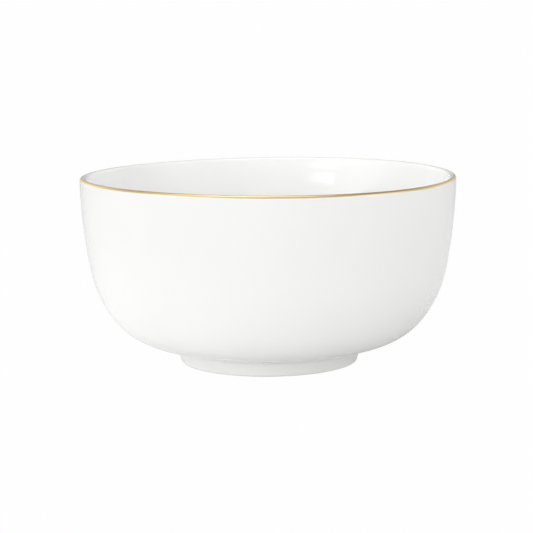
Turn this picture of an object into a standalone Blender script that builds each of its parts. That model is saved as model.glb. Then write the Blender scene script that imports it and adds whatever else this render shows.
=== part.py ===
"""Porcelain serving bowl: a pressed bowl body, a foot ring luted under it, and a band of fired gold on the lip.

Metres, +Z up. The origin is the centre of the foot ring's bearing face, on the surface that the bowl stands on.
Every piece is turned round the Z axis from a profile of (r, z) points.
"""

import math

import bmesh
import bpy

MM = 0.001
DEG = math.pi / 180

# Driving dimensions of the bowl body.
RIM_RADIUS = 100 * MM
HEIGHT = 100 * MM
LIP_THICKNESS = 3.6 * MM
# Under the lip the outer wall leans this far from upright. It then turns inwards through four tangent arcs, given as
# (radius, turn): the upper wall, the shoulder, the belly and the underside. The four turns end level.
OUTSIDE_LEAN = 1.15 * DEG
OUTSIDE_ARCS = (
    (290 * MM, 9.35 * DEG),
    (63 * MM, 26 * DEG),
    (37.5 * MM, 43 * DEG),
    (130 * MM, 10.5 * DEG),
)
# The inner wall leans more, so that a wall about 5 mm thick thins to the lip. Its arcs end level at the floor.
INSIDE_LEAN = 6 * DEG
INSIDE_ARCS = (
    (600 * MM, 4.6 * DEG),
    (53.5 * MM, 26.2 * DEG),
    (34.4 * MM, 45 * DEG),
    (165 * MM, 8.2 * DEG),
)

# Driving dimensions of the foot ring. Its outer side tapers downwards, as a foot pressed in a mould has to, and
# flares into the underside at the top.
FOOT_FACE_OUTER = 46.4 * MM
FOOT_FACE_INNER = 43.9 * MM
FOOT_OUTER_ROUND = 1.2 * MM
FOOT_INNER_ROUND = 0.9 * MM
FOOT_TAPER = 16 * DEG
FOOT_FLARE_START = 5.4 * MM  # height above the bearing face
FOOT_FLARE_RADIUS = 5 * MM
FOOT_FLARE_TURN = 60 * DEG

# The joint between them: the ring's flat top lies in a shallow seat, bedded on a thin layer of fired slip.
SEAT_DEPTH = 0.6 * MM  # measured at the seat's outer wall
SLIP_GAP = 0.3 * MM

# The gilding covers the lip's round from its crest outwards. It lies in a step of the same outline.
GILDING_THICKNESS = 0.35 * MM
GILDING_LOWER_EDGE = 13 * DEG  # how far up the round from its widest point
GILDING_GAP = 0.3 * MM

# How finely the round shapes are faceted.
TURN_STEPS = 64
WALL_CHORD = 7 * MM
LIP_STEPS = 4
FOOT_ROUND_STEPS = 4
FOOT_FLARE_STEPS = 4
MERGE_DISTANCE = 0.01 * MM
SMOOTH_ANGLE = 32 * DEG

PORCELAIN = (0.9, 0.9, 0.895)
GOLD = (0.83, 0.6, 0.24)

LIP_ROUND = LIP_THICKNESS / 2
LIP_R = RIM_RADIUS - LIP_ROUND
LIP_Z = HEIGHT - LIP_ROUND


def arc(centre_r, centre_z, radius, start, end, steps):
    """Points along a circle in the (r, z) plane, from angle start to angle end, both measured from outwards."""
    angles = [start + (end - start) * i / steps for i in range(steps + 1)]
    return [(centre_r + radius * math.cos(a), centre_z + radius * math.sin(a)) for a in angles]


def wall_down(start_angle, lean, arcs):
    """Down a wall of tangent arcs, from a point on the lip's round to where the wall is level."""
    r = LIP_R + LIP_ROUND * math.cos(start_angle)
    z = LIP_Z + LIP_ROUND * math.sin(start_angle)
    points = [(r, z)]
    for radius, turn in arcs:
        steps = math.ceil(radius * turn / WALL_CHORD)
        for _ in range(steps):
            next_lean = lean + turn / steps
            r -= radius * (math.cos(lean) - math.cos(next_lean))
            z -= radius * (math.sin(next_lean) - math.sin(lean))
            lean = next_lean
            points.append((r, z))
    return points


def outer_wall():
    """Down the outside, from the lip's round to where the underside is level."""
    return wall_down(-OUTSIDE_LEAN, OUTSIDE_LEAN, OUTSIDE_ARCS)


def inner_wall():
    """Up the inside, from the edge of the flat floor to the lip's round."""
    return wall_down(math.pi - INSIDE_LEAN, INSIDE_LEAN, INSIDE_ARCS)[::-1]


def underside(wall, r):
    """Height of the body's underside at radius r, on the last arc of the wall or the level disc inside it."""
    level_r, level_z = wall[-1]
    radius = OUTSIDE_ARCS[-1][0]
    return level_z + radius - math.sqrt(radius**2 - max(r - level_r, 0) ** 2)


def foot_outer_side():
    """Down the ring's outer side: the flare, the tapered side, and the round into the bearing face."""
    edge = arc(FOOT_FACE_OUTER, FOOT_OUTER_ROUND, FOOT_OUTER_ROUND, -FOOT_TAPER, -math.pi / 2, FOOT_ROUND_STEPS)
    side_r = edge[0][0] + (FOOT_FLARE_START - edge[0][1]) * math.tan(FOOT_TAPER)
    flare = arc(
        side_r + FOOT_FLARE_RADIUS * math.cos(FOOT_TAPER),
        FOOT_FLARE_START - FOOT_FLARE_RADIUS * math.sin(FOOT_TAPER),
        FOOT_FLARE_RADIUS,
        math.pi - FOOT_TAPER - FOOT_FLARE_TURN,
        math.pi - FOOT_TAPER,
        FOOT_FLARE_STEPS,
    )
    return flare + edge


def seat(wall):
    """(inner radius, outer radius, height) of the seat in the underside, with room for the slip all round the ring."""
    inner = FOOT_FACE_INNER - FOOT_INNER_ROUND - SLIP_GAP
    outer = foot_outer_side()[0][0] + SLIP_GAP
    return inner, outer, underside(wall, outer) + SEAT_DEPTH


def body_profile():
    """From the middle of the floor up the inside, over the lip, down the outside and in under the foot."""
    wall = outer_wall()
    inside = inner_wall()
    seat_inner, seat_outer, seat_z = seat(wall)
    step = GILDING_THICKNESS + GILDING_GAP
    lip_inside = arc(LIP_R, LIP_Z, LIP_ROUND, math.pi - INSIDE_LEAN, math.pi / 2, LIP_STEPS)
    lip_step = arc(LIP_R, LIP_Z, LIP_ROUND - step, math.pi / 2, -OUTSIDE_LEAN, LIP_STEPS)
    outside = [(r, z) for r, z in wall if r > seat_outer]
    recess = [(r, z) for r, z in wall if r < seat_inner]
    return (
        [(0, inside[0][1])]
        + inside[:-1]
        + lip_inside
        + lip_step
        + outside
        + [(seat_outer, underside(wall, seat_outer)), (seat_outer, seat_z)]
        + [(seat_inner, seat_z), (seat_inner, underside(wall, seat_inner))]
        + recess
        + [(0, wall[-1][1])]
    )


def foot_profile():
    """Round the ring's section, down the outer side first."""
    top = seat(outer_wall())[2] - SLIP_GAP
    outer_side = foot_outer_side()
    inner_edge = arc(
        FOOT_FACE_INNER, FOOT_INNER_ROUND, FOOT_INNER_ROUND, -math.pi / 2, -math.pi, FOOT_ROUND_STEPS
    )
    return [(outer_side[0][0], top)] + outer_side + inner_edge + [(inner_edge[-1][0], top)]


def gilding_profile():
    """Round the band's section, down its outer side first. Its edges stand clear of the step in the lip."""
    under = LIP_ROUND - GILDING_THICKNESS
    crest = math.acos(GILDING_GAP / under)
    face = arc(LIP_R, LIP_Z, LIP_ROUND, crest, GILDING_LOWER_EDGE, LIP_STEPS)
    back = arc(LIP_R, LIP_Z, under, GILDING_LOWER_EDGE, crest, LIP_STEPS)
    return face + back


def surface(name, color, roughness, metallic, coat):
    """A Principled BSDF material."""
    material = bpy.data.materials.new(name)
    material.use_nodes = True
    shader = material.node_tree.nodes["Principled BSDF"]
    shader.inputs["Base Color"].default_value = (*color, 1)
    shader.inputs["Roughness"].default_value = roughness
    shader.inputs["Metallic"].default_value = metallic
    shader.inputs["Coat Weight"].default_value = coat
    material.diffuse_color = (*color, 1)
    return material


def turned_piece(name, profile, material, collection):
    """A solid of revolution. A profile that ends on the axis stays open, and any other is joined up into a loop."""
    outline = bmesh.new()
    verts = [outline.verts.new((r, 0, z)) for r, z in profile]
    for pair in zip(verts, verts[1:]):
        outline.edges.new(pair)
    if profile[-1][0] > 0:
        outline.edges.new((verts[-1], verts[0]))
    mesh = bpy.data.meshes.new(name + "_profile")
    outline.to_mesh(mesh)
    outline.free()
    piece = bpy.data.objects.new(name, mesh)
    collection.objects.link(piece)

    turn = piece.modifiers.new("turn", "SCREW")
    turn.axis = "Z"
    turn.angle = 2 * math.pi
    turn.steps = TURN_STEPS
    turn.render_steps = TURN_STEPS
    turn.use_merge_vertices = True
    turn.merge_threshold = MERGE_DISTANCE
    solid = bpy.data.meshes.new_from_object(piece.evaluated_get(bpy.context.evaluated_depsgraph_get()))
    piece.modifiers.clear()
    piece.data = solid
    bpy.data.meshes.remove(mesh)
    solid.name = name
    solid.shade_smooth()
    solid.set_sharp_from_angle(angle=SMOOTH_ANGLE)
    solid.materials.append(material)
    return piece


def main():
    for leftover in list(bpy.data.objects):
        bpy.data.objects.remove(leftover)
    bowl = bpy.data.collections.new("porcelain_serving_bowl")
    bpy.context.scene.collection.children.link(bowl)

    body_glaze = surface("glazed_porcelain_body", PORCELAIN, 0.08, 0, 1)
    foot_glaze = surface("glazed_porcelain_foot", PORCELAIN, 0.12, 0, 1)
    fired_gold = surface("fired_bright_gold", GOLD, 0.18, 1, 0)
    turned_piece("bowl_body", body_profile(), body_glaze, bowl)
    turned_piece("foot_ring", foot_profile(), foot_glaze, bowl)
    turned_piece("rim_gilding", gilding_profile(), fired_gold, bowl)


main()
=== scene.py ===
import math

import bmesh
import bpy
from mathutils import Matrix, Vector


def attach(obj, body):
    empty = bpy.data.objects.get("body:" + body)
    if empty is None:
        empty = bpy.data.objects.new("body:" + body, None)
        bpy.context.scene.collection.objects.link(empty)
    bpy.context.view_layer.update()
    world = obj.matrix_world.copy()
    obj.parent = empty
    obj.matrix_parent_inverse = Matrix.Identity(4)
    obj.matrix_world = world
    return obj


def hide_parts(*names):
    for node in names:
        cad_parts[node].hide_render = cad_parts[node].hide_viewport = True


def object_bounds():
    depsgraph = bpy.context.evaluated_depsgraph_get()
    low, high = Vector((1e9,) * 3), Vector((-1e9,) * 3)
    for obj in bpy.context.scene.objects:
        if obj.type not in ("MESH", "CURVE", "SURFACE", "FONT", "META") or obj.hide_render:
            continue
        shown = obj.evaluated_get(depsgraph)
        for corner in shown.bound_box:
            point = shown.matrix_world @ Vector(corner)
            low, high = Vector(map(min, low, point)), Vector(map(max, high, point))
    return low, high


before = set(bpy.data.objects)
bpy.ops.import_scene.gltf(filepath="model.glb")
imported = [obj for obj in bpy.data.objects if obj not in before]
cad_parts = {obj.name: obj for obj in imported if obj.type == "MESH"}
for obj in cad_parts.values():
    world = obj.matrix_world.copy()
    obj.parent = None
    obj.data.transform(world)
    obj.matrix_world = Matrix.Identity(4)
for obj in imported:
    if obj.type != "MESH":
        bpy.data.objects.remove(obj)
cadLow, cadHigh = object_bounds()   # the CAD model's box, before anything is added
print("frame loaded:", sorted(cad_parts))

mm = 0.001
deg = math.pi / 180

# Outlines are drawn in millimetres, in the plane through +X and +Z, and turned round Z.
# Where the rim is comes from the frame.
rimRadius = cadHigh.x / mm
rimHeight = cadHigh.z / mm


# Small tools for outlines. An outline is drawn by walking a vertex, the tip, along it.

def startOutline(r, z):
    mesh = bmesh.new()
    return mesh, mesh.verts.new((r * mm, 0, z * mm))


def addLine(mesh, tip, r, z):
    newTip = bmesh.ops.extrude_vert_indiv(mesh, verts=[tip])["verts"][0]
    newTip.co = (r * mm, 0, z * mm)
    return newTip


def addArc(mesh, tip, centre, turn, steps):
    # carries the tip round a centre; a positive turn goes from +X towards +Z
    result = bmesh.ops.spin(mesh, geom=[tip], cent=(centre[0] * mm, 0, centre[1] * mm), axis=(0, -1, 0),
                            dvec=(0, 0, 0), angle=turn * deg, steps=steps, use_merge=False)
    return [part for part in result["geom_last"] if isinstance(part, bmesh.types.BMVert)][0]


def wallCentre(r, z, lean, radius):
    # the centre of a wall's arc, from a point on the arc and how far the wall leans from upright there
    return (r - radius * math.cos(lean * deg), z + radius * math.sin(lean * deg))


def addWall(mesh, tip, lean, arcs, spacing):
    # down a wall of tangent arcs, each given as (radius, turn); returns the tip and the lean it ends with
    for radius, turn in arcs:
        centre = wallCentre(tip.co.x / mm, tip.co.z / mm, lean, radius)
        tip = addArc(mesh, tip, centre, -turn, math.ceil(radius * turn * deg / spacing))
        lean += turn
    return tip, lean


def turnedPiece(name, mesh, segments, material):
    # one full turn round Z, with the seam and the poles closed
    bmesh.ops.spin(mesh, geom=mesh.verts[:] + mesh.edges[:], cent=(0, 0, 0), axis=(0, 0, 1), dvec=(0, 0, 0),
                   angle=2 * math.pi, steps=segments, use_merge=True)
    return finishedPiece(name, mesh, material)


def finishedPiece(name, mesh, material, weld=0.002 * mm, sharpAngle=40 * deg):
    bmesh.ops.remove_doubles(mesh, verts=mesh.verts, dist=weld)
    bmesh.ops.recalc_face_normals(mesh, faces=mesh.faces)
    for vert in mesh.verts:
        vert.co.z += rimWarp(vert.co)
    data = bpy.data.meshes.new(name)
    mesh.to_mesh(data)
    mesh.free()
    data.shade_smooth()
    data.set_sharp_from_angle(angle=sharpAngle)
    data.materials.append(material)
    piece = bpy.data.objects.new(name, data)
    bpy.context.scene.collection.objects.link(piece)
    return piece


# Fired porcelain is never quite true: the rim sags into a slight saddle in the kiln.
saddle = {"rise": 0.43 * mm}  # at the rim, on the diagonals


def rimWarp(place):
    share = 2 * place.x * place.y / (rimRadius * mm) ** 2
    return saddle["rise"] * share * (place.z / (rimHeight * mm)) ** 2


# Materials

def linearColour(code):
    # an sRGB hex colour as linear RGBA
    channels = [int(code[i:i + 2], 16) / 255 for i in (0, 2, 4)]
    return [c / 12.92 if c <= 0.04045 else ((c + 0.055) / 1.055) ** 2.4 for c in channels] + [1]


def addNode(tree, kind, sockets=None, links=None, **settings):
    # one node: its own settings, values for its sockets, and links into its sockets
    node = tree.nodes.new(kind)
    for name, value in settings.items():
        setattr(node, name, value)
    for name, value in (sockets or {}).items():
        node.inputs[name].default_value = value
    for name, source in (links or {}).items():
        tree.links.new(source, node.inputs[name])
    return node


def newMaterial(name):
    material = bpy.data.materials.new(name)
    material.use_nodes = True
    return material, material.node_tree, material.node_tree.nodes["Principled BSDF"]


def perMetre(size):
    # a noise texture's scale for a pattern of this size in millimetres
    return 1 / (size * mm)


# Hard-paste porcelain under clear feldspar glaze: a dense white body seen through a smooth glassy skin. To the eye
# it is an even neutral white with sharp but weak reflections, which the glaze's slow ripple bends very slightly.
glaze = {
    "white": "f3f3f2",
    "cloud": "f0f0ef",        # where the glaze lies a little thicker
    "cloudSize": 38,          # mm
    "ior": 1.5,
    "roughness": 0.02,
    "rippleSize": 17,         # mm across a slow wave of the glaze
    "rippleHeight": 0.004,    # mm
    "peelSize": 2.6,          # mm, the faint orange peel of a dipped glaze; coarser than life, to show at all
    "peelHeight": 0.0006,     # mm
}


def glazeSurface(tree, shader, place):
    # the colour and the normal that every glazed piece shares
    cloud = addNode(tree, "ShaderNodeTexNoise", {"Scale": perMetre(glaze["cloudSize"]), "Detail": 2},
                    {"Vector": place})
    colour = addNode(tree, "ShaderNodeMix", {"A": linearColour(glaze["white"]), "B": linearColour(glaze["cloud"])},
                     {"Factor": cloud.outputs["Fac"]}, data_type="RGBA")
    ripple = addNode(tree, "ShaderNodeTexNoise", {"Scale": perMetre(glaze["rippleSize"]), "Detail": 0},
                     {"Vector": place})
    slow = addNode(tree, "ShaderNodeBump", {"Distance": glaze["rippleHeight"] * mm},
                   {"Height": ripple.outputs["Fac"]})
    peel = addNode(tree, "ShaderNodeTexNoise", {"Scale": perMetre(glaze["peelSize"]), "Detail": 1},
                   {"Vector": place})
    fine = addNode(tree, "ShaderNodeBump", {"Distance": glaze["peelHeight"] * mm},
                   {"Height": peel.outputs["Fac"], "Normal": slow.outputs["Normal"]})
    return colour.outputs["Result"], fine.outputs["Normal"]


def glazedPorcelain():
    material, tree, shader = newMaterial("glazedHardPastePorcelain")
    place = addNode(tree, "ShaderNodeTexCoord").outputs["Object"]
    colour, normal = glazeSurface(tree, shader, place)
    shader.inputs["IOR"].default_value = glaze["ior"]
    shader.inputs["Roughness"].default_value = glaze["roughness"]
    tree.links.new(colour, shader.inputs["Base Color"])
    tree.links.new(normal, shader.inputs["Normal"])
    return material


# The same glaze on the foot, wiped off the bearing face before firing. There the bare bisque shows: matt, faintly
# warm and fine-grained, with a slightly uneven edge where the glaze stops.
bisque = {
    "colour": "e6e2da",
    "stain": "d9d3c8",        # where it has stood on shelves
    "stainSize": 6,           # mm
    "roughness": 0.85,
    "grainSize": 0.5,         # mm; real grains are finer, this is as coarse as shows
    "grainHeight": 0.02,      # mm
    "glazeLine": 0.4,         # mm above the bearing face
    "lineWander": 0.35,       # mm
    "lineWaveSize": 9,        # mm
    "lineWidth": 0.12,        # mm over which the glaze thins out
}


def footPorcelain():
    material, tree, shader = newMaterial("glazedPorcelainWithBareBisqueFace")
    place = addNode(tree, "ShaderNodeTexCoord").outputs["Object"]
    colour, normal = glazeSurface(tree, shader, place)
    height = addNode(tree, "ShaderNodeSeparateXYZ", links={"Vector": place}).outputs["Z"]
    wander = addNode(tree, "ShaderNodeTexNoise", {"Scale": perMetre(bisque["lineWaveSize"]), "Detail": 2},
                     {"Vector": place})
    shift = addNode(tree, "ShaderNodeMath", {1: -bisque["lineWander"] * mm}, {0: wander.outputs["Fac"], 2: height},
                    operation="MULTIPLY_ADD")
    middle = (bisque["glazeLine"] - bisque["lineWander"] / 2) * mm
    halfWidth = bisque["lineWidth"] * mm / 2
    glazed = addNode(tree, "ShaderNodeMapRange", {"From Min": middle - halfWidth, "From Max": middle + halfWidth},
                     {"Value": shift.outputs["Value"]})

    stain = addNode(tree, "ShaderNodeTexNoise", {"Scale": perMetre(bisque["stainSize"]), "Detail": 4},
                    {"Vector": place})
    bare = addNode(tree, "ShaderNodeMix", {"A": linearColour(bisque["colour"]), "B": linearColour(bisque["stain"])},
                   {"Factor": stain.outputs["Fac"]}, data_type="RGBA")
    both = addNode(tree, "ShaderNodeMix", links={"Factor": glazed.outputs["Result"], "A": bare.outputs["Result"],
                                                 "B": colour}, data_type="RGBA")
    rough = addNode(tree, "ShaderNodeMapRange", {"To Min": bisque["roughness"], "To Max": glaze["roughness"]},
                    {"Value": glazed.outputs["Result"]})
    grain = addNode(tree, "ShaderNodeTexNoise", {"Scale": perMetre(bisque["grainSize"]), "Detail": 2},
                    {"Vector": place})
    grainShown = addNode(tree, "ShaderNodeMapRange", {"To Min": 1, "To Max": 0},
                         {"Value": glazed.outputs["Result"]})
    gritty = addNode(tree, "ShaderNodeBump", {"Distance": bisque["grainHeight"] * mm},
                     {"Height": grain.outputs["Fac"], "Strength": grainShown.outputs["Result"], "Normal": normal})
    shader.inputs["IOR"].default_value = glaze["ior"]
    tree.links.new(both.outputs["Result"], shader.inputs["Base Color"])
    tree.links.new(rough.outputs["Result"], shader.inputs["Roughness"])
    tree.links.new(gritty.outputs["Normal"], shader.inputs["Normal"])
    return material


# Bright gold, brushed on over the fired glaze while the bowl turns on a wheel, then fired again. It is a thin
# satin metal skin, with fine streaks along the rim where the brush ran and a paler, thinner film between them.
gold = {
    "full": "e8cc98",
    "thin": "f1deb8",
    "roughness": (0.3, 0.42),
    "streakSize": (30, 0.35),  # mm, along the rim and across it
    "patchSize": 26,           # mm
}


def firedGold():
    material, tree, shader = newMaterial("firedBrightGold")
    place = addNode(tree, "ShaderNodeTexCoord").outputs["Object"]
    parts = addNode(tree, "ShaderNodeSeparateXYZ", links={"Vector": place})
    radius = addNode(tree, "ShaderNodeVectorMath", links={0: addNode(
        tree, "ShaderNodeCombineXYZ", links={"X": parts.outputs["X"], "Y": parts.outputs["Y"]}).outputs["Vector"]},
        operation="LENGTH")
    around = addNode(tree, "ShaderNodeMath", links={0: parts.outputs["Y"], 1: parts.outputs["X"]},
                     operation="ARCTAN2")
    along = addNode(tree, "ShaderNodeMath", {1: rimRadius / gold["streakSize"][0]},
                    {0: around.outputs["Value"]}, operation="MULTIPLY")
    across = addNode(tree, "ShaderNodeMath", {1: perMetre(gold["streakSize"][1])},
                     {0: parts.outputs["Z"]}, operation="MULTIPLY")
    inwards = addNode(tree, "ShaderNodeMath", {1: perMetre(gold["streakSize"][1])},
                      {0: radius.outputs["Value"]}, operation="MULTIPLY")
    brushed = addNode(tree, "ShaderNodeCombineXYZ", links={"X": along.outputs["Value"], "Y": across.outputs["Value"],
                                                           "Z": inwards.outputs["Value"]})
    streak = addNode(tree, "ShaderNodeTexNoise", {"Scale": 1, "Detail": 2}, {"Vector": brushed.outputs["Vector"]})
    patch = addNode(tree, "ShaderNodeTexNoise", {"Scale": perMetre(gold["patchSize"]), "Detail": 1},
                    {"Vector": place})
    thinness = addNode(tree, "ShaderNodeMath", links={0: streak.outputs["Fac"], 1: patch.outputs["Fac"]},
                       operation="MULTIPLY")
    colour = addNode(tree, "ShaderNodeMix", {"A": linearColour(gold["full"]), "B": linearColour(gold["thin"])},
                     {"Factor": thinness.outputs["Value"]}, data_type="RGBA")
    rough = addNode(tree, "ShaderNodeMapRange", {"To Min": gold["roughness"][0], "To Max": gold["roughness"][1]},
                    {"Value": streak.outputs["Fac"]})
    shader.inputs["Metallic"].default_value = 1
    tree.links.new(colour.outputs["Result"], shader.inputs["Base Color"])
    tree.links.new(rough.outputs["Result"], shader.inputs["Roughness"])
    return material


# The bowl body: pressed in one piece, with a rounded lip and a level floor.
bodyShape = {
    "lipRound": 1.8,          # mm, so the lip is 3.6 thick
    "lipSteps": 20,
    "outsideLean": 1.15,      # degrees from upright, just under the lip
    "outsideArcs": [(290, 9.35), (63, 26), (37.5, 43), (130, 10.5)],   # (mm, degrees), the last under the belly
    "insideLean": 6,
    "insideArcs": [(600, 4.6), (53.5, 26.2), (34.4, 45), (165, 8.2)],
    "spacing": 1.7,           # mm between points on the outline
    "segments": 256,
    "seatInside": 40.5,       # radius where the foot's inner side meets the underside
    "seatHeight": 10,
}
# The foot ring, tapered downwards and flared into the belly at its top.
footShape = {
    "faceOutside": 46.4,      # radii of the bearing face
    "faceInside": 43.9,
    "outerRound": 1.2,
    "innerRound": 0.9,
    "taper": 16,              # degrees
    "flareRound": 5,
    "roundSteps": 10,
    "flareSteps": 24,
}
lipCentre = (rimRadius - bodyShape["lipRound"], rimHeight - bodyShape["lipRound"])


def alongLip(angle, offset=0):
    # a point on the lip's round; 0 degrees is its widest point and 90 its crest
    size = bodyShape["lipRound"] + offset
    return lipCentre[0] + size * math.cos(angle * deg), lipCentre[1] + size * math.sin(angle * deg)


def bellyArc():
    # the centre and radius of the arc under the belly
    r, z = alongLip(-bodyShape["outsideLean"])
    lean = bodyShape["outsideLean"]
    for radius, turn in bodyShape["outsideArcs"]:
        centre = wallCentre(r, z, lean, radius)
        lean += turn
        r = centre[0] + radius * math.cos(lean * deg)
        z = centre[1] - radius * math.sin(lean * deg)
    return Vector(centre), radius


def flareArc():
    # the flare's centre, where it touches both the foot's tapered side and the belly's arc from below
    belly, bellyRadius = bellyArc()
    taper = footShape["taper"] * deg
    outwards = Vector((math.cos(taper), -math.sin(taper)))
    upwards = Vector((math.sin(taper), math.cos(taper)))
    edge = Vector((footShape["faceOutside"], footShape["outerRound"])) + footShape["outerRound"] * outwards
    start = edge + footShape["flareRound"] * outwards - belly
    reach = bellyRadius + footShape["flareRound"]
    middle = -start.dot(upwards)
    climb = middle - math.sqrt(middle ** 2 - start.length_squared + reach ** 2)
    return belly + start + climb * upwards, edge


def undersideMeeting():
    # where the flare runs out into the belly, and how far the belly's arc still has to turn to be level there
    belly, bellyRadius = bellyArc()
    centre, _ = flareArc()
    direction = (centre - belly).normalized()
    return belly + bellyRadius * direction, math.asin(direction.x) / deg


def bowlBody(material):
    shape = bodyShape
    meeting, leftToTurn = undersideMeeting()
    mesh, start = startOutline(*alongLip(180 - shape["insideLean"]))
    tip, lean = addWall(mesh, start, shape["insideLean"], shape["insideArcs"], shape["spacing"])
    addLine(mesh, tip, 0, tip.co.z / mm)
    overLip = 180 - shape["insideLean"] + shape["outsideLean"]
    tip = addArc(mesh, start, lipCentre, -overLip, shape["lipSteps"])
    bellyRadius, bellyTurn = shape["outsideArcs"][-1]
    toFoot = shape["outsideArcs"][:-1] + [(bellyRadius, bellyTurn - leftToTurn)]
    tip, lean = addWall(mesh, tip, shape["outsideLean"], toFoot, shape["spacing"])
    belly, _ = bellyArc()
    inside = math.asin((shape["seatInside"] - belly.x) / bellyRadius) / deg
    seatEdge = belly.y - bellyRadius * math.cos(inside * deg)
    for r, z in ((meeting.x, shape["seatHeight"]), (shape["seatInside"], shape["seatHeight"]),
                 (shape["seatInside"], seatEdge)):
        tip = addLine(mesh, tip, r, z)
    tip, lean = addWall(mesh, tip, 90 - inside, [(bellyRadius, inside)], shape["spacing"])
    addLine(mesh, tip, 0, tip.co.z / mm)
    return turnedPiece("bowlBody", mesh, shape["segments"], material)


def footRing(material):
    shape = footShape
    meeting, _ = undersideMeeting()
    flare, edge = flareArc()
    flareTurn = 180 - shape["taper"] - math.atan2(meeting.y - flare.y, meeting.x - flare.x) / deg
    outerCentre = (shape["faceOutside"], shape["outerRound"])
    innerCentre = (shape["faceInside"], shape["innerRound"])
    belly, bellyRadius = bellyArc()
    coveEdge = belly.y - math.sqrt(bellyRadius ** 2 - (bodyShape["seatInside"] - belly.x) ** 2)
    insideRadius = shape["faceInside"] - shape["innerRound"]
    coveRound = insideRadius - bodyShape["seatInside"]
    top = bodyShape["seatHeight"] - 0.1

    mesh, start = startOutline(meeting.x, meeting.y)
    tip = addArc(mesh, start, flare, flareTurn, shape["flareSteps"])
    tip = addLine(mesh, tip, edge.x, edge.y)
    tip = addArc(mesh, tip, outerCentre, shape["taper"] - 90, shape["roundSteps"])
    tip = addLine(mesh, tip, shape["faceInside"], 0)
    tip = addArc(mesh, tip, innerCentre, -90, shape["roundSteps"])
    tip = addLine(mesh, tip, insideRadius, coveEdge - coveRound)
    tip = addArc(mesh, tip, (bodyShape["seatInside"], coveEdge - coveRound), 90, shape["roundSteps"])
    tip = addLine(mesh, tip, bodyShape["seatInside"], top)
    tip = addLine(mesh, tip, meeting.x, top)
    mesh.edges.new((tip, start))
    return turnedPiece("footRing", mesh, bodyShape["segments"], material)


# The gilding: a band round the outer side of the lip, thinner than a hair, from near the crest to above the widest
# point.
gildingShape = {
    "upperEdge": 76,          # degrees up the lip's round
    "lowerEdge": 18,
    "thickness": 0.05,        # mm; thicker than real gold, so that it lies clear of the glaze
    "steps": 14,
    "segments": 512,
}


def rimGilding(material):
    shape = gildingShape
    mesh, start = startOutline(*alongLip(shape["upperEdge"], shape["thickness"]))
    turn = shape["upperEdge"] - shape["lowerEdge"]
    tip = addArc(mesh, start, lipCentre, -turn, shape["steps"])
    tip = addLine(mesh, tip, *alongLip(shape["lowerEdge"], -shape["thickness"]))
    tip = addArc(mesh, tip, lipCentre, turn, shape["steps"])
    mesh.edges.new((tip, start))
    return turnedPiece("rimGilding", mesh, shape["segments"], material)


# One bead where the glaze ran down and gathered in the corner over the foot.
beadShape = {
    "around": -2.3,           # degrees from the front, towards -X
    "upFlare": 136,           # degrees on the flare's round
    "halfSizes": (1.6, 0.55, 0.95),   # mm: along the foot, out of the corner, up
    "segments": 32,
    "rings": 20,
    "lean": 42,               # degrees
}


def glazeBead(material):
    shape = beadShape
    flare, _ = flareArc()
    angle = shape["upFlare"] * deg
    r = flare.x + footShape["flareRound"] * math.cos(angle)
    z = flare.y + footShape["flareRound"] * math.sin(angle)
    mesh = bmesh.new()
    bmesh.ops.create_uvsphere(mesh, u_segments=shape["segments"], v_segments=shape["rings"],
                              radius=mm)
    bmesh.ops.scale(mesh, verts=mesh.verts, vec=shape["halfSizes"])
    bmesh.ops.rotate(mesh, verts=mesh.verts, cent=(0, 0, 0), matrix=Matrix.Rotation(shape["lean"] * deg, 3, "X"))
    bmesh.ops.translate(mesh, verts=mesh.verts, vec=(0, -r * mm, z * mm))
    bmesh.ops.rotate(mesh, verts=mesh.verts, cent=(0, 0, 0), matrix=Matrix.Rotation(shape["around"] * deg, 3, "Z"))
    return finishedPiece("glazeBead", mesh, material)


porcelain = glazedPorcelain()
body = bowlBody(porcelain)
print("bowl body turned:", len(body.data.polygons), "faces")
foot = footRing(footPorcelain())
gilding = rimGilding(firedGold())
bead = glazeBead(porcelain)
print("foot ring, gilding and glaze bead made")

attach(body, "root")
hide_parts("bowl_body")
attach(foot, "root")
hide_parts("foot_ring")
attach(gilding, "root")
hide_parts("rim_gilding")
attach(bead, "root")


# The studio: a white sweep in a pale room, lit by soft glows on its walls and a few soft boxes, with painted glows
# and a patch of painted shade on the sweep. Seen directly, the sweep and the room are blank white.
studio = {
    "backdrop": "fefefe",
    "sweepGrey": "f0f0f0",
    "paintedShadeGrey": "e2e2e2",
    "room": 0,                # light from the room all round
    "sweepSize": 6,           # metres
}
# Painted shade on the sweep: a darker grey patch to the right, out of sight, stands in for the shade there and takes
# a little light off that side of the belly.
paintedShadePatch = {"x": 0.13, "y": -0.09, "size": 0.17, "strength": 1}   # metres; it fades out softly over its size
# Broad glows on the room's walls, for light without hard-edged reflections. Azimuth is from the camera's side,
# positive to the right; a larger focus is a narrower glow.
wallGlows = [
    {"azimuth": -135, "elevation": 8, "focus": 6, "strength": 1.87},
    {"azimuth": -60, "elevation": 8, "focus": 6, "strength": 3.35},
    {"azimuth": 0, "elevation": 8, "focus": 6, "strength": 2.0},
    {"azimuth": 60, "elevation": 8, "focus": 6, "strength": 2.33},
    {"azimuth": 135, "elevation": 8, "focus": 6, "strength": 1.5},
]
# Painted glows on the sweep: patches of it emit light, though it is no lamp, to throw extra light onto the belly and
# foot; the camera never sees them. x and y in metres, how wide each patch is, how strong.
paintedSweepGlows = [
    {"x": -0.2, "y": 0, "size": 0.25, "strength": 0.2},
    {"x": 0, "y": 0.3, "size": 0.4, "strength": 0.1},
    {"x": 0, "y": 0, "size": 0.2, "strength": 0.08},
    {"x": -0.03, "y": -0.06, "size": 0.07, "strength": 0.02},
]


def skyDirection(azimuth, elevation):
    return Vector((math.sin(azimuth * deg) * math.cos(elevation * deg),
                   -math.cos(azimuth * deg) * math.cos(elevation * deg), math.sin(elevation * deg)))


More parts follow.
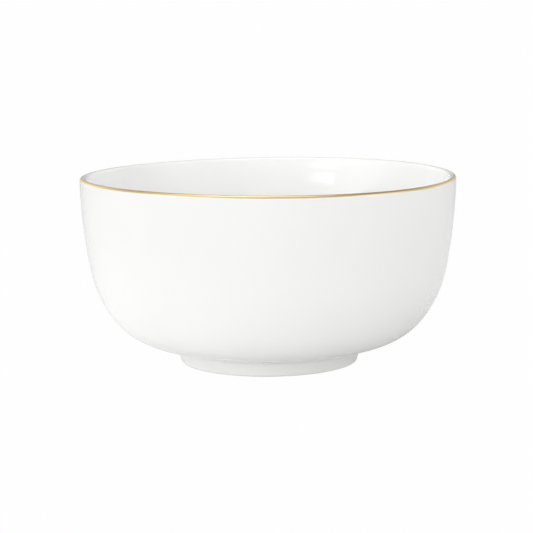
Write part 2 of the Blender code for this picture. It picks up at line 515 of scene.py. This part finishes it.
def seenAsBackdrop(tree, shader):
    # the shader for light that reaches the bowl, and plain white where the camera looks straight at it
    seen = addNode(tree, "ShaderNodeLightPath").outputs["Is Camera Ray"]
    white = addNode(tree, "ShaderNodeEmission", {"Color": linearColour(studio["backdrop"])})
    return addNode(tree, "ShaderNodeMixShader", links={0: seen, 1: shader, 2: white.outputs[0]}).outputs[0]


def softPatch(tree, place, x, y, size, strength):
    # a round patch on the sweep that fades out softly over its size
    away = addNode(tree, "ShaderNodeVectorMath", {1: (x, y, 0)}, {0: place}, operation="DISTANCE")
    return addNode(tree, "ShaderNodeMapRange", {"From Min": 0, "From Max": size, "To Min": strength, "To Max": 0},
                   {"Value": away.outputs["Value"]}, interpolation_type="SMOOTHERSTEP").outputs["Result"]


def whiteSweep():
    material = bpy.data.materials.new("whiteSweepWithPaintedGlowAndShade")
    material.use_nodes = True
    tree = material.node_tree
    tree.nodes.clear()
    place = addNode(tree, "ShaderNodeTexCoord").outputs["Object"]
    total = addNode(tree, "ShaderNodeValue").outputs[0]
    total.default_value = 0
    # painted glow: patches of the sweep emit light onto the bowl, unseen by the camera
    for glow in paintedSweepGlows:
        total = addNode(tree, "ShaderNodeMath", links={0: softPatch(tree, place, **glow), 1: total},
                        operation="ADD").outputs["Value"]
    # painted shade: the sweep is darker in a patch to the right, which dims the light it throws back onto that side
    # of the belly
    grey = addNode(tree, "ShaderNodeMix", {"A": linearColour(studio["sweepGrey"]),
                                           "B": linearColour(studio["paintedShadeGrey"])},
                   {"Factor": softPatch(tree, place, **paintedShadePatch)}, data_type="RGBA")
    paper = addNode(tree, "ShaderNodeBsdfDiffuse", links={"Color": grey.outputs["Result"]})
    paintedGlow = addNode(tree, "ShaderNodeEmission", links={"Strength": total})
    both = addNode(tree, "ShaderNodeAddShader", links={0: paper.outputs[0], 1: paintedGlow.outputs[0]})
    addNode(tree, "ShaderNodeOutputMaterial", links={"Surface": seenAsBackdrop(tree, both.outputs[0])})
    mesh = bmesh.new()
    bmesh.ops.create_grid(mesh, x_segments=1, y_segments=1, size=studio["sweepSize"] / 2)
    data = bpy.data.meshes.new("whiteSweep")
    mesh.to_mesh(data)
    mesh.free()
    data.materials.append(material)
    sweep = bpy.data.objects.new("whiteSweep", data)
    bpy.context.scene.collection.objects.link(sweep)
    return sweep


def wallGlow(tree, direction, total, azimuth, elevation, focus, strength):
    facing = addNode(tree, "ShaderNodeVectorMath", {1: skyDirection(azimuth, elevation)}, {0: direction},
                     operation="DOT_PRODUCT")
    front = addNode(tree, "ShaderNodeMath", {1: 0}, {0: facing.outputs["Value"]}, operation="MAXIMUM")
    spread = addNode(tree, "ShaderNodeMath", {1: focus}, {0: front.outputs["Value"]}, operation="POWER")
    return addNode(tree, "ShaderNodeMath", {1: strength}, {0: spread.outputs["Value"], 2: total},
                   operation="MULTIPLY_ADD").outputs["Value"]


def paleRoom():
    world = bpy.data.worlds.new("paleRoom")
    world.use_nodes = True
    tree = world.node_tree
    tree.nodes.clear()
    direction = addNode(tree, "ShaderNodeTexCoord").outputs["Generated"]
    total = addNode(tree, "ShaderNodeValue").outputs[0]
    total.default_value = studio["room"]
    for glow in wallGlows:
        total = wallGlow(tree, direction, total, **glow)
    room = addNode(tree, "ShaderNodeBackground", links={"Strength": total})
    addNode(tree, "ShaderNodeOutputWorld", links={"Surface": seenAsBackdrop(tree, room.outputs[0])})
    bpy.context.scene.world = world


# Soft boxes, each aimed at the bowl. The narrow ones low on the left are two lit strips that show as the highlight
# inside the bowl; tilt is in degrees and raises a strip's right end.
softBoxes = {
    "right": {"azimuth": 80, "elevation": 38, "distance": 1.4, "size": (0.9, 0.8), "tilt": 0, "radiance": 0.63},
    "top": {"azimuth": 0, "elevation": 88, "distance": 1.4, "size": (1.0, 1.0), "tilt": 0, "radiance": 1.85},
    "topLeft": {"azimuth": -90, "elevation": 68, "distance": 1.4, "size": (0.8, 0.8), "tilt": 0, "radiance": 1.3},
    "windowLower": {"azimuth": -40.8, "elevation": 8.2, "distance": 1.5, "size": (0.33, 0.0113), "tilt": 2,
                    "radiance": 2.6},
    "windowUpper": {"azimuth": -40.8, "elevation": 8.97, "distance": 1.5, "size": (0.33, 0.0165), "tilt": 2,
                    "radiance": 2.6},
    "curtainLower": {"azimuth": -31.6, "elevation": 8.52, "distance": 1.5, "size": (0.15, 0.0113), "tilt": 2,
                     "radiance": 1.6},
    "curtainUpper": {"azimuth": -31.6, "elevation": 9.29, "distance": 1.5, "size": (0.15, 0.0165), "tilt": 2,
                     "radiance": 1.6},
}


def softBox(name, azimuth, elevation, distance, size, tilt, radiance):
    data = bpy.data.lights.new(name, "AREA")
    data.shape = "RECTANGLE"
    data.size, data.size_y = size
    data.energy = radiance * math.pi * size[0] * size[1]
    box = bpy.data.objects.new(name, data)
    towards = skyDirection(azimuth, elevation)
    aim = Vector((0, 0, rimHeight * mm / 2))
    box.location = aim + distance * towards
    facing = towards.to_track_quat("Z", "Y").to_matrix()
    box.rotation_euler = (facing @ Matrix.Rotation(tilt * deg, 3, "Z")).to_euler()
    bpy.context.scene.collection.objects.link(box)
    return box


# The camera stands a metre away and looks down a little; it is not quite level.
cameraPlace = {
    "location": (-0.0011, -1.0, 0.2041),
    "pitch": 8.736,           # degrees down
    "roll": -0.464,           # degrees
    "lens": 127.25,
    "sensor": 36,
}


def setCamera():
    data = bpy.data.cameras.new("camera")
    data.lens = cameraPlace["lens"]
    data.sensor_width = cameraPlace["sensor"]
    data.clip_end = 20
    camera = bpy.data.objects.new("camera", data)
    turn = Matrix.Rotation((90 - cameraPlace["pitch"]) * deg, 4, "X") @ Matrix.Rotation(
        cameraPlace["roll"] * deg, 4, "Z")
    camera.location = cameraPlace["location"]
    camera.rotation_euler = turn.to_euler()
    bpy.context.scene.collection.objects.link(camera)
    bpy.context.scene.camera = camera


sweep = whiteSweep()
paleRoom()
for name, setting in softBoxes.items():
    softBox(name, **setting)
setCamera()
bpy.context.scene.view_settings.view_transform = "Standard"
print("studio, lights and camera set")
